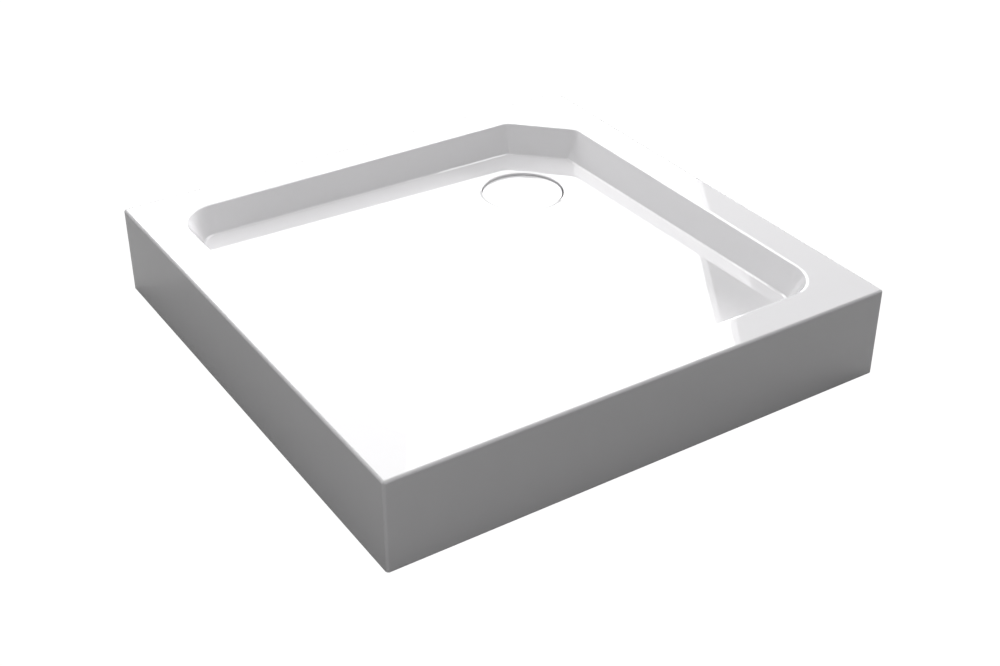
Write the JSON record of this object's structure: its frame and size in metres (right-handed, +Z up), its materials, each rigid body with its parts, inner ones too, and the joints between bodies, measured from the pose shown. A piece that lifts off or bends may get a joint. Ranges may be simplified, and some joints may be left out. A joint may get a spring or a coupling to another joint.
{
  "type": "shower tray",
  "caption": "Square acrylic shower tray with integral apron, graded basin, corner drain with cover, underframe, adjustable feet and lift-out waste trap.",
  "frame": {"origin": "middle of the tray's square footprint, on the floor", "axes": "+Z up out of the tray, +Y towards the back wall, +X towards the right wall; the drain is near the +X +Y corner"},
  "size_m": [0.9, 0.9, 0.155],
  "materials": {
    "acrylic": "high gloss white sanitary acrylic",
    "cover": "high gloss white",
    "laminate": "glass fibre laminate, rough",
    "chipboard": "raw chipboard",
    "softwood": "planed softwood",
    "galvanised": "galvanised steel tube",
    "zinc": "zinc plated fasteners",
    "black_plastic": "black moulded plastic",
    "trap_plastic": "white polypropylene",
    "insert_plastic": "grey polypropylene",
    "seal_rubber": "black sealing rubber"
  },
  "bodies": {
    "root": {"tray_shell": "acrylic", "laminate_backing": "laminate", "floor_board": "chipboard", "front_batten": "softwood", "back_batten": "softwood", "left_batten": "softwood", "right_batten": "softwood", "left_rail": "galvanised", "right_rail": "galvanised", "cross_rail": "galvanised", "rail_caps": "black_plastic", "weld_nuts": "zinc", "waste_flange": "trap_plastic", "body_gasket": "seal_rubber", "trap_body": "trap_plastic", "outlet_nut": "insert_plastic"},
    "foot_front_left": {"foot_pad_front_left": "black_plastic"},
    "stud_front_left": {"foot_stud_front_left": "zinc"},
    "foot_front_right": {"foot_pad_front_right": "black_plastic"},
    "stud_front_right": {"foot_stud_front_right": "zinc"},
    "foot_back_left": {"foot_pad_back_left": "black_plastic"},
    "stud_back_left": {"foot_stud_back_left": "zinc"},
    "foot_back_right": {"foot_pad_back_right": "black_plastic"},
    "stud_back_right": {"foot_stud_back_right": "zinc"},
    "foot_centre": {"foot_pad_centre": "black_plastic"},
    "stud_centre": {"foot_stud_centre": "zinc"},
    "trap_insert": {"dip_tube": "insert_plastic", "trap_cup": "insert_plastic"},
    "drain_cover": {"drain_cover": "cover"}
  },
  "joints": [
    {"name": "foot_front_left_height", "type": "slide", "parent": "root", "child": "foot_front_left", "axis": [-0.0094, -0.0094, -0.9999], "range_m": [0, 0.012]},
    {"name": "foot_front_left_turn", "type": "hinge", "parent": "foot_front_left", "child": "stud_front_left", "pos_m": [-0.31604, -0.31604, 0.004], "axis": [-0.0094, -0.0094, -0.9999], "range_deg": [0, 2880]},
    {"name": "foot_front_right_height", "type": "slide", "parent": "root", "child": "foot_front_right", "axis": [-0.0094, -0.0094, -0.9999], "range_m": [0, 0.012]},
    {"name": "foot_front_right_turn", "type": "hinge", "parent": "foot_front_right", "child": "stud_front_right", "pos_m": [0.31399, -0.31601, 0.004], "axis": [-0.0094, -0.0094, -0.9999], "range_deg": [0, 2880]},
    {"name": "foot_back_left_height", "type": "slide", "parent": "root", "child": "foot_back_left", "axis": [-0.0094, -0.0094, -0.9999], "range_m": [0, 0.012]},
    {"name": "foot_back_left_turn", "type": "hinge", "parent": "foot_back_left", "child": "stud_back_left", "pos_m": [-0.31601, 0.31399, 0.004], "axis": [-0.0094, -0.0094, -0.9999], "range_deg": [0, 2880]},
    {"name": "foot_back_right_height", "type": "slide", "parent": "root", "child": "foot_back_right", "axis": [-0.0094, -0.0094, -0.9999], "range_m": [0, 0.012]},
    {"name": "foot_back_right_turn", "type": "hinge", "parent": "foot_back_right", "child": "stud_back_right", "pos_m": [0.31401, 0.31401, 0.004], "axis": [-0.0094, -0.0094, -0.9999], "range_deg": [0, 2880]},
    {"name": "foot_centre_height", "type": "slide", "parent": "root", "child": "foot_centre", "axis": [-0.0094, -0.0094, -0.9999], "range_m": [0, 0.012]},
    {"name": "foot_centre_turn", "type": "hinge", "parent": "foot_centre", "child": "stud_centre", "pos_m": [-0.00101, -0.00101, 0.004], "axis": [-0.0094, -0.0094, -0.9999], "range_deg": [0, 2880]},
    {"name": "trap_insert_lift", "type": "slide", "parent": "root", "child": "trap_insert", "axis": [0, 0, 1], "range_m": [0, 0.12]},
    {"name": "drain_cover_lift", "type": "slide", "parent": "trap_insert", "child": "drain_cover", "axis": [0, 0, 1], "range_m": [0, 0.12]}
  ],
  "couplings": [
    {"joint": "foot_front_left_turn", "follows": "foot_front_left_height", "rad_per_m": 4188.8},
    {"joint": "foot_front_right_turn", "follows": "foot_front_right_height", "rad_per_m": 4188.8},
    {"joint": "foot_back_left_turn", "follows": "foot_back_left_height", "rad_per_m": 4188.8},
    {"joint": "foot_back_right_turn", "follows": "foot_back_right_height", "rad_per_m": 4188.8},
    {"joint": "foot_centre_turn", "follows": "foot_centre_height", "rad_per_m": 4188.8}
  ]
}
